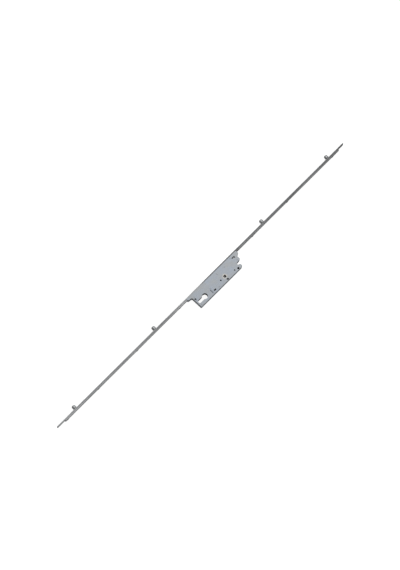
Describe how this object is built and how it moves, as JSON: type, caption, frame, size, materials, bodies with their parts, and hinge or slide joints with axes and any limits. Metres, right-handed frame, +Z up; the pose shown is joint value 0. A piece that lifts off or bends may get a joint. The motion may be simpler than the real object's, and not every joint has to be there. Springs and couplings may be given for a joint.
{
  "type": "espagnolette door lock",
  "caption": "Multipoint door lock: long faceplate with roller cams on sliding rods, and a flat steel case with a square follower and a euro-profile cylinder cut-out.",
  "frame": {"origin": "on the follower's axis, halfway through the case", "axes": "+Z up the door edge, +X from the faceplate into the door, Y through the door along the spindle; the side in the picture faces -Y"},
  "size_m": [0.0623, 0.016, 1.217],
  "materials": {
    "coated_steel": "satin silver grey coating on steel",
    "zinc_sheet": "bright zinc plated steel sheet, blue passivated",
    "zinc_plate": "zinc plated stamped steel",
    "turned_steel": "turned and zinc plated",
    "roller_steel": "turned and zinc plated",
    "spring_steel": "blued strip",
    "white_acetal": "moulded, satin"
  },
  "bodies": {
    "case": {"faceplate": "coated_steel", "rod_guide_rivets": "coated_steel", "case_tray": "zinc_sheet", "case_cover": "zinc_sheet", "case_rivets": "zinc_sheet", "case_blocks": "zinc_sheet", "case_fixing_rivets": "coated_steel", "slide_guide_pins": "turned_steel", "slide_guide_spacers": "turned_steel", "key_slide_pins": "turned_steel", "key_slide_spacers": "turned_steel", "drive_detent_spring": "spring_steel", "key_detent_spring": "spring_steel"},
    "drive": {"drive_slide": "zinc_plate", "lower_drive_rod": "coated_steel", "upper_drive_rod": "coated_steel", "roller_studs": "turned_steel"},
    "follower": {"follower_hub": "white_acetal", "follower_gear": "zinc_plate", "follower_washer": "turned_steel"},
    "key_slide": {"key_slide": "zinc_plate"},
    "roller_1": {"roller_1": "roller_steel"},
    "roller_2": {"roller_2": "roller_steel"},
    "roller_3": {"roller_3": "roller_steel"},
    "roller_4": {"roller_4": "roller_steel"}
  },
  "joints": [
    {"name": "drive_travel", "type": "slide", "parent": "case", "child": "drive", "axis": [0, 0, -1], "range_m": [0, 0.02], "deforming": ["drive_detent_spring"]},
    {"name": "follower_turn", "type": "hinge", "parent": "case", "child": "follower", "pos_m": [0, 0, 0], "axis": [0, -1, 0], "range_deg": [0, 90]},
    {"name": "key_slide_travel", "type": "slide", "parent": "case", "child": "key_slide", "axis": [-1, 0, 0], "range_m": [0, 0.007], "deforming": ["key_detent_spring"]},
    {"name": "roller_1_spin", "type": "hinge", "parent": "drive", "child": "roller_1", "pos_m": [-0.0405, 0, -0.59], "axis": [-1, 0, 0], "continuous": true},
    {"name": "roller_2_spin", "type": "hinge", "parent": "drive", "child": "roller_2", "pos_m": [-0.0405, 0, -0.259], "axis": [-1, 0, 0], "continuous": true},
    {"name": "roller_3_spin", "type": "hinge", "parent": "drive", "child": "roller_3", "pos_m": [-0.0405, 0, 0.201], "axis": [-1, 0, 0], "continuous": true},
    {"name": "roller_4_spin", "type": "hinge", "parent": "drive", "child": "roller_4", "pos_m": [-0.0405, 0, 0.485], "axis": [-1, 0, 0], "continuous": true}
  ],
  "couplings": [
    {"joint": "follower_turn", "follows": "drive_travel", "rad_per_m": 78.431}
  ]
}
